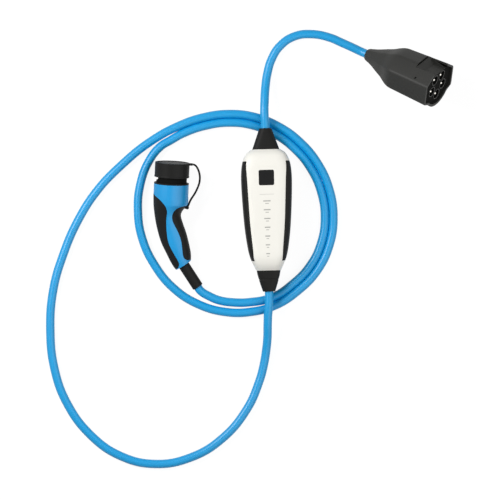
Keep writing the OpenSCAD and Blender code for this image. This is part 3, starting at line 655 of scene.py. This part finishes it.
makeBoot("supplyBoot", "supply_boot", 1, housing["endWidth"] - boot["in"], 1.0, [])
makeBoot("vehicleBoot", "vehicle_boot", -1, housing["footWidth"] - boot["in"], 1.25, [0.42])
print("boots made")

# Handle: one lofted body with two soft grips let into it

collarR = handle["collarR"]
spineX = [
    (0, 0), (18, 0), (36, 0.2), (44, -2.6), (50, -3.9), (58, -3.9), (76, 0.9), (97, 8.5), (117, 16.9),
    (135, 24.2), (146, 28.4),
]
halfWide = [
    (0, collarR), (18, collarR), (36, collarR - 0.6), (44, 27.2), (50, 24.9), (58, 23.4), (76, 23.6),
    (97, 24), (117, 22), (135, 19.4), (146, 16),
]
halfThick = [
    (0, collarR), (18, collarR), (36, collarR - 1.2), (44, 27), (50, 25), (58, 23), (76, 21), (97, 20.3),
    (117, 19.4), (135, 17), (146, 14.5),
]
sectionLean = [
    (0, 0), (18, 0), (44, 0), (58, 3), (76, 14), (97, 22), (117, 27), (135, 32), (146, 35.4),
]
grip = {
    "depth": 3.2, "fade": 20, "seat": 0.25, "slack": 0.5, "proud": 0.25, "edge": 0.7, "sharp": 50,
    "steps": 14, "endGap": 0.2, "stopShort": 1.5, "most": 0.985,
}
gripEnd = handle["length"] - grip["stopShort"]
backEdge = [
    (19, -1), (27, -0.63), (36, -0.34), (44, -0.13), (52, -0.04), (66, -0.16), (80, -0.3), (97, -0.44),
    (110, -0.46), (125, -0.38), (135, -0.32), (140, -0.36), (gripEnd, -0.62),
]
frontEdge = [
    (37, 1), (38.5, 0.66), (44, 0.46), (56, 0.36), (67, 0.33), (82, 0.44), (97, 0.5), (107, 0.48),
    (119, 0.38), (130, 0.28), (136, 0.34), (141, 0.58), (gripEnd, 1),
]


def edgeOf(edge, s, none):  # angle of a grip's edge round the section; none stands where there is no grip
    if s <= edge[0][0] or s >= edge[-1][0]:
        return math.degrees(math.acos(none))
    return math.degrees(math.acos(max(min(through(edge, s), grip["most"]), -grip["most"])))


def backAngle(s):
    return edgeOf(backEdge, s, -1)


def frontAngle(s):
    return edgeOf(frontEdge, s, 1)


def gripDepth(width):  # width is in degrees: a narrow grip has a shallower pocket
    return grip["depth"] * min(max(width / grip["fade"], 0), 1)


def handlePoint(s, angle, inset):
    a = math.radians(angle)
    across = (through(halfWide, s) - inset) * math.cos(a)
    turn = math.radians(through(sectionLean, s))
    up = (through(halfThick, s) - inset) * math.sin(a)
    return Vector((through(spineX, s) + across * math.cos(turn), across * math.sin(turn) - s, up))


def handleRing(s):
    f, b = frontAngle(s), backAngle(s)
    n = grip["steps"]
    zones = ((-f, f, gripDepth(f)), (f, b, 0), (b, 360 - b, gripDepth(180 - b)), (360 - b, 360 - f, 0))
    return [handlePoint(s, a, inset) for low, high, inset in zones for a in steps(low, high, n)]


def gripRing(s, low, high, depth):
    a, b = low + grip["slack"], high - grip["slack"]
    n = 2 * grip["steps"]
    outer = [handlePoint(s, v, -grip["proud"]) for v in steps(a, b, n)]
    return outer + [handlePoint(s, v, depth - grip["seat"]) for v in steps(b, a, n)]


# Rings stand close together where a grip's edge turns sharply
handleStops = [0, 2, 6, 12, 18, 18.9, 19.05, 19.3, 19.8, 20.6, 21.6, 22.8] + steps(24, 36, 8)
handleStops += [36.6, 36.95, 37.05, 37.3, 37.7, 38.2, 38.8, 39.6] + steps(40.5, 138, 62)
handleStops += [139, 140, 141, 141.8, 142.6, 143.2, 143.7, 144.1, 144.35]
handleStops += [gripEnd - 0.02, gripEnd, 145.2, handle["length"]]


def gripStops(edge):
    return [s for s in handleStops if edge[0][0] + grip["endGap"] < s < gripEnd]


handleBody = bmesh.new()
loft(handleBody, [handleRing(s) for s in handleStops])
handleShell = makePiece(
    "handleShell", handleBody, bluePolyamide, place=handlePlace, replaced=["handle_shell"],
    sharp=38,
)
back = bmesh.new()
loft(back, [
    gripRing(s, backAngle(s), 360 - backAngle(s), gripDepth(180 - backAngle(s))) for s in gripStops(backEdge)
])
backGrip = makePiece(
    "backGrip", back, blackTpu, place=handlePlace, replaced=["back_grip"],
    edge=grip["edge"], sharp=grip["sharp"],
)
fore = bmesh.new()
loft(fore, [
    gripRing(s, -frontAngle(s), frontAngle(s), gripDepth(frontAngle(s))) for s in gripStops(frontEdge)
])
lug = {"at": (collarR - 0.9, -41.5), "radius": 3, "half": 4, "neck": 4, "reach": 5}
lugX, lugY = lug["at"]
rod(fore, lug["radius"], (lugX, lugY, -lug["half"]), (lugX, lugY, lug["half"]))
block(
    fore, (lugX - lug["reach"], lugY - lug["neck"] / 2, -lug["half"]),
    (lugX, lugY + lug["neck"] / 2, lug["half"]),
)
frontGrip = makePiece(
    "frontGrip", fore, blackTpu, place=handlePlace, replaced=["front_grip"],
    edge=grip["edge"], sharp=grip["sharp"],
)
print("handle made")

# Nose seal, dust cap, tether and cable sleeve

nose = {"diameter": 55, "length": 35.5, "seal": 2.4, "fit": 0.3, "edge": 0.5}
cap = {
    "diameter": 63, "skirt": 23, "end": 3, "lug": 5, "lugT": 4, "lugW": 7, "lugIn": 3, "edge": 0.8,
    "rim": 4, "rimLip": 0.6, "dish": 0.8, "step": 0.4, "band": 3, "bandSlope": 0.6,
}
capLow = nose["length"] - cap["skirt"]
capFloor = nose["length"] + nose["fit"]
capTop = capFloor + cap["end"]
noseR = nose["diameter"] / 2
sealR = noseR + nose["fit"] / 2
capR = cap["diameter"] / 2
capInner = noseR + nose["fit"]
sealRing = bmesh.new()
lathe(sealRing, [(sealR, 0), (collarR, 0), (collarR, nose["seal"]), (sealR, nose["seal"])], closed=True)
noseSeal = makePiece(
    "noseSeal", sealRing, blackTpu, place=handlePlace, replaced=["nose_seal"],
    edge=nose["edge"],
)
lid = bmesh.new()
lathe(lid, [
    (0, capTop - cap["dish"]), (capR - cap["rim"], capTop - cap["dish"]),
    (capR - cap["rim"] - cap["rimLip"], capTop), (capR - cap["step"], capTop),
    (capR - cap["step"], capLow + cap["band"]), (capR, capLow + cap["band"] - cap["bandSlope"]),
    (capR, capLow), (capInner, capLow), (capInner, capFloor), (0, capFloor),
])
block(
    lid, (capR - cap["lugIn"], capTop - cap["lugT"], -cap["lugW"] / 2),
    (capR + cap["lug"], capTop, cap["lugW"] / 2),
)
dustCap = makePiece(
    "dustCap", lid, capTpu, place=handlePlace, replaced=["dust_cap"], body="cap",
    edge=cap["edge"],
)

tether = {
    "diameter": 3.6, "seat": 0.15, "sides": 12, "fine": 8, "startRun": (2.4, -0.2),
    "endWay": (0.36, 0.93), "endRun": 12,
}
tetherIn = Vector((*tether["endWay"], 0)).normalized()
tetherFrom = Vector((capR + cap["lug"] + tether["seat"], capTop - cap["lugT"] / 2, 0))
tetherTo = Vector((lugX, lugY, 0)) + tetherIn * (lug["radius"] + tether["seat"])
tetherBow = [(43.5, 33.5), (48, 25.5), (50.5, 15), (50, 4), (47, -6), (42.5, -16)]
tetherRoute = [tetherFrom, tetherFrom + Vector((*tether["startRun"], 0))]
tetherRoute += [Vector((*p, 0)) for p in tetherBow]
tetherRoute += [tetherTo + tetherIn * tether["endRun"], tetherTo]
tetherLine = [
    Vector((through([(k, p.x) for k, p in enumerate(tetherRoute)], t),
            through([(k, p.y) for k, p in enumerate(tetherRoute)], t), 0))
    for t in steps(0, len(tetherRoute) - 1, tether["fine"] * (len(tetherRoute) - 1))
]


def tetherRing(i):
    way = (tetherLine[min(i + 1, len(tetherLine) - 1)] - tetherLine[max(i - 1, 0)]).normalized()
    side = Vector((way.y, -way.x, 0)).normalized()
    up = side.cross(way)
    turns = [math.tau * k / tether["sides"] for k in range(tether["sides"])]
    radius = tether["diameter"] / 2
    return [tetherLine[i] + radius * (math.cos(a) * side + math.sin(a) * up) for a in turns]


strap = bmesh.new()
loft(strap, [tetherRing(i) for i in range(len(tetherLine))])
capTether = makePiece(
    "capTether", strap, capTpu, place=handlePlace, replaced=["cap_tether"], body=None,
    sharp=60,
)
tetherPath = [handlePlace @ p for p in tetherLine]
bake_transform(capTether)
tetherLength = sum((b - a).length for a, b in zip(tetherPath, tetherPath[1:]))
print("tether", round(tetherLength, 4), "m")

pipe = bmesh.new()
sleeveR = sleeve["diameter"] / 2
boreR = cable["diameter"] / 2 + sleeve["fit"]
boreFloor = sleeve["length"] - sleeve["grip"]
lathe(pipe, [
    (boreR, boreFloor), (boreR, sleeve["length"]), (sleeveR, sleeve["length"]), (sleeveR, 0), (0, 0),
    (0, boreFloor),
])
sleeveTurn = Vector((0, 1, 0)).rotation_difference(sleeveWay).to_matrix().to_4x4()
bmesh.ops.transform(pipe, matrix=Matrix.Translation(sleeveStart) @ sleeveTurn, verts=pipe.verts)
cableSleeve = makePiece(
    "cableSleeve", pipe, blackTpu, place=handlePlace, replaced=["cable_sleeve"],
    edge=sleeve["edge"],
)
print("cap, tether and sleeve made")

# Supply connector

plugLength = plug["tail"] + plug["body"]
wellSet = {
    "pitch": 38, "diameter": 17.6, "depth": 34, "sides": 64, "pin": 5, "pinBack": 0.8, "pinSides": 32,
    "count": 5, "first": 126, "collar": 1.0, "collarOut": 0.8, "collarIn": 1,
}
insertSet = {
    "length": 40, "back": 3.5, "wall": 4.5, "fit": 0.3, "corner": 3, "keyFloor": 25.6, "keyWidth": 46,
    "keyLength": 39, "shelf": 0.5, "shelfIn": 1, "ramp": 14, "rampRise": 9,
}
insertFace = plugLength - insertSet["back"]
insertLow = insertFace - insertSet["length"]
latch = {"back": 29, "length": 3.2, "width": 3.6, "deep": 2.6, "along": 0.78}
pastPlug = 60  # a cutter this wide or high clears the whole connector


def roundCorners(points, radius, n):
    out = []
    for i, p in enumerate(points):
        a = points[i - 1] - p
        b = points[(i + 1) % len(points)] - p
        cut = min(radius, a.length / plug["cornerRoom"], b.length / plug["cornerRoom"])
        first, last = p + a.normalized() * cut, p + b.normalized() * cut
        for t in steps(0, 1, n):
            out.append(first * (1 - t) ** 2 + p * 2 * t * (1 - t) + last * t ** 2)
    return out


def plugSection(inset=0, radius=plug["corner"]):  # flat ridge on top, straight ears, round belly
    half = plug["width"] / 2
    belly = plug["height"] / 2
    right = [Vector((plug["ridge"], belly)), Vector((half, plug["earHigh"])), Vector((half, plug["earLow"]))]
    turns = [math.radians(a) for a in steps(*plug["belly"])]
    right += [belly * Vector((math.cos(a), -math.sin(a))) for a in turns]
    corners = right + [Vector((-p.x, p.y)) for p in reversed(right)]
    corners = [p * (1 - inset / p.length) for p in corners]
    return roundCorners(corners, radius, 4)


def bodyShare(s):  # the body is drafted: smaller at the knee than at the face
    return mix(plug["kneeShare"], 1, min(max((s - plug["tail"]) / plug["body"], 0), 1))


def plugRing(s):
    tail = plug["tailD"] / 2
    k = through(tailKnots, min(s / plug["tail"], 1))
    return [Vector((s, *mix(p.normalized() * tail, p * bodyShare(s), k))) for p in plugSection()]


def prism(bm, points, low, high):
    loft(bm, [[Vector((x, p.x, p.y)) for p in points] for x in (low, high)])


def wellPlaces():
    turns = [math.radians(wellSet["first"] + 360 / wellSet["count"] * i) for i in range(wellSet["count"])]
    return [(wellSet["pitch"] / 2 * math.cos(a), wellSet["pitch"] / 2 * math.sin(a)) for a in turns]


def turnedAtWells(profile, **how):  # the same turned piece in every well
    joined = bmesh.new()
    for y, z in wellPlaces():
        part = bmesh.new()
        lathe(part, profile, **how)
        place = Matrix.Translation((0, y, z)) @ Matrix.Rotation(-math.pi / 2, 4, "Z")
        bmesh.ops.transform(part, matrix=place, verts=part.verts)
        mesh = bpy.data.meshes.new("part")
        part.to_mesh(mesh)
        part.free()
        joined.from_mesh(mesh)
        bpy.data.meshes.remove(mesh)
    return joined


casing = bmesh.new()
bodyStops = steps(plug["tail"], plugLength, 8)[1:]
tipRings = []
for a in steps(0, math.pi / 2, 6):  # the tail's end is rounded off
    inward = 1 - 2 * plug["tailRound"] * (1 - math.sin(a)) / plug["tailD"]
    s = plug["tailRound"] * (1 - math.cos(a))
    tipRings.append([Vector((s, inward * p.y, inward * p.z)) for p in plugRing(0)])
tailSteps = steps(plug["tailRound"] + 1, plug["tail"], 40)
loft(casing, tipRings + [plugRing(s) for s in tailSteps + bodyStops])
pocket = bmesh.new()
prism(pocket, plugSection(insertSet["wall"], insertSet["corner"]), insertLow, plugLength + cutPast)
keyway = bmesh.new()
keyHalf = insertSet["keyWidth"] / 2
keyBack = plugLength - insertSet["keyLength"]
block(keyway, (keyBack, -keyHalf, insertSet["keyFloor"]), (plugLength + cutPast, keyHalf, pastPlug))
latchCut = bmesh.new()
flank = [Vector((plug["ridge"], plug["height"] / 2)), Vector((plug["width"] / 2, plug["earHigh"]))]
latchX = plugLength - latch["back"]
latchAt = mix(flank[0], flank[1], latch["along"]) * bodyShare(latchX)
slopeAngle = math.atan2(flank[0].y - flank[1].y, flank[1].x - flank[0].x)
for side in (-1, 1):
    place = Matrix.Translation((latchX, side * latchAt.x, latchAt.y))
    place = place @ Matrix.Rotation(-side * slopeAngle, 4, "X")
    place = place @ Matrix.Diagonal((latch["length"], latch["width"], 2 * latch["deep"], 1))
    bmesh.ops.create_cube(latchCut, size=1, matrix=place)
plugCasing = makePiece(
    "plugHousing", casing, charcoalPbt, place=plugPlace, replaced=["plug_housing"],
    cutters=[pocket, keyway, latchCut], edge=0.5, sharp=34,
)
insert = bmesh.new()
prism(insert, plugSection(insertSet["wall"] + insertSet["fit"], insertSet["corner"]), insertLow, insertFace)
holes = bmesh.new()
wellR = wellSet["diameter"] / 2
wellFloor = insertFace - wellSet["depth"]
for y, z in wellPlaces():
    rod(holes, wellR, (wellFloor, y, z), (insertFace + cutPast, y, z), sides=wellSet["sides"])
roof = bmesh.new()
block(
    roof, (insertLow - cutPast, -pastPlug, insertSet["keyFloor"]), (insertFace + cutPast, pastPlug, pastPlug)
)
contactInsert = makePiece(
    "contactInsert", insert, blackPbt, place=plugPlace, replaced=["contact_insert"],
    cutters=[roof, holes], edge=0.3, sharp=35,
)
shelf = bmesh.new()  # the housing's own floor in the keyway, with a ramp at its back
shelfHalf = keyHalf - insertSet["fit"]
shelfBack = keyBack + insertSet["fit"]
shelfLow = insertSet["keyFloor"] - insertSet["shelfIn"]
shelfTop = insertSet["keyFloor"] + insertSet["shelf"]
shelfSide = [
    (shelfBack, shelfLow), (insertFace, shelfLow), (insertFace, shelfTop),
    (shelfBack + insertSet["ramp"], shelfTop), (shelfBack, shelfTop + insertSet["rampRise"]),
]
loft(shelf, [[Vector((x, y, z)) for x, z in shelfSide] for y in (-shelfHalf, shelfHalf)])
bmesh.ops.bevel(
    shelf, geom=[e for e in shelf.edges if min(v.co.z for v in e.verts) > insertSet["keyFloor"]],
    offset=insertSet["shelf"], affect="EDGES", segments=3, profile=0.5, material=-1,
)
keyShelf = makePiece("keyShelf", shelf, charcoalPbt, place=plugPlace)
lipR = wellR + wellSet["collar"]
collarLow = insertFace - wellSet["collarIn"]
collarTop = insertFace + wellSet["collarOut"]
collars = turnedAtWells(
    [(wellR, collarLow), (lipR, collarLow), (lipR, collarTop), (wellR, collarTop)], closed=True
)
# the collars' grey is a painted highlight on the well rims, not the insert's own colour
wellCollars = makePiece("wellCollars", collars, highlightGreyPbt, place=plugPlace, edge=0.25)
pinR = wellSet["pin"] / 2
pinTip = insertFace - wellSet["pinBack"]
dome = [(pinR * math.cos(a), pinTip - pinR + pinR * math.sin(a)) for a in steps(0, math.pi / 2, 8)]
pins = turnedAtWells([(0, wellFloor), (pinR, wellFloor)] + dome, turns=wellSet["pinSides"])
contactPins = makePiece(
    "contactPins", pins, platedNickel, place=plugPlace, replaced=["contact_pins"]
)
print("supply connector made")

# Pieces that belong with the handle, gathered in a list

handlePieces = [handleShell, backGrip, frontGrip, noseSeal, cableSleeve, dustCap, capTether]
handlePieces += [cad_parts["contact_carrier"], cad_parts["vehicle_contacts"]]

# Stage and light

stage = {
    "floor": 30.0, "drop": 0.0011, "glow": 0.91, "paper": 0.16, "bounce": 0.4,
    "sky": 0.15, "key": (-1.9, 1.0, 2.0), "keyPower": 67, "keySize": 1.3,
    "fill": (1.6, -0.5, 2.1), "fillPower": 47, "fillSize": 3.2,
}


def seenDirectly(tree):  # camera, glossy and transmitted rays see the plain white surround
    path = addNode(tree, "ShaderNodeLightPath")
    both = addNode(
        tree, "ShaderNodeMath", {"operation": "MAXIMUM"},
        {0: path.outputs["Is Camera Ray"], 1: path.outputs["Is Glossy Ray"]},
    )
    return addNode(
        tree, "ShaderNodeMath", {"operation": "MAXIMUM"},
        {0: both.outputs[0], 1: path.outputs["Is Transmission Ray"]},
    ).outputs[0]


paper = bpy.data.materials.new("whitePaperSweep")
paper.use_nodes = True
tree = paper.node_tree
tree.nodes.clear()
bounce = addNode(tree, "ShaderNodeBsdfDiffuse", {"Color": (*[stage["bounce"]] * 3, 1)})
shadowed = addNode(tree, "ShaderNodeBsdfDiffuse", {"Color": (*[stage["paper"]] * 3, 1)})
glow = addNode(tree, "ShaderNodeEmission", {"Strength": stage["glow"]})
seen = addNode(tree, "ShaderNodeAddShader", {}, {0: glow.outputs[0], 1: shadowed.outputs[0]})
choice = addNode(
    tree, "ShaderNodeMixShader", {}, {0: seenDirectly(tree), 1: bounce.outputs[0], 2: seen.outputs[0]}
)
addNode(tree, "ShaderNodeOutputMaterial", {}, {"Surface": choice.outputs[0]})
ground = bmesh.new()
bmesh.ops.create_grid(ground, x_segments=1, y_segments=1, size=stage["floor"])
bmesh.ops.translate(ground, verts=ground.verts, vec=(0, 0, -stage["drop"]))
floor = meshObject("floor", ground, Matrix.Identity(4))
floor.data.materials.append(paper)

world = bpy.data.worlds.new("studio")
world.use_nodes = True
bpy.context.scene.world = world
tree = world.node_tree
tree.nodes.clear()
level = addNode(
    tree, "ShaderNodeMapRange", {"To Min": stage["sky"], "To Max": 1.0}, {"Value": seenDirectly(tree)}
)
sky = addNode(tree, "ShaderNodeBackground", {"Color": (1, 1, 1, 1)}, {"Strength": level.outputs["Result"]})
addNode(tree, "ShaderNodeOutputWorld", {}, {"Surface": sky.outputs[0]})


def softbox(name, spot, power, size):
    lamp = bpy.data.lights.new(name, "AREA")
    lamp.energy = power
    lamp.size = size
    obj = bpy.data.objects.new(name, lamp)
    bpy.context.scene.collection.objects.link(obj)
    obj.location = spot
    obj.rotation_euler = (-Vector(spot)).to_track_quat("-Z", "Y").to_euler()


softbox("keyLight", stage["key"], stage["keyPower"], stage["keySize"])
softbox("fillLight", stage["fill"], stage["fillPower"], stage["fillSize"])
bpy.context.scene.view_settings.view_transform = "Standard"
print("stage and lights set")
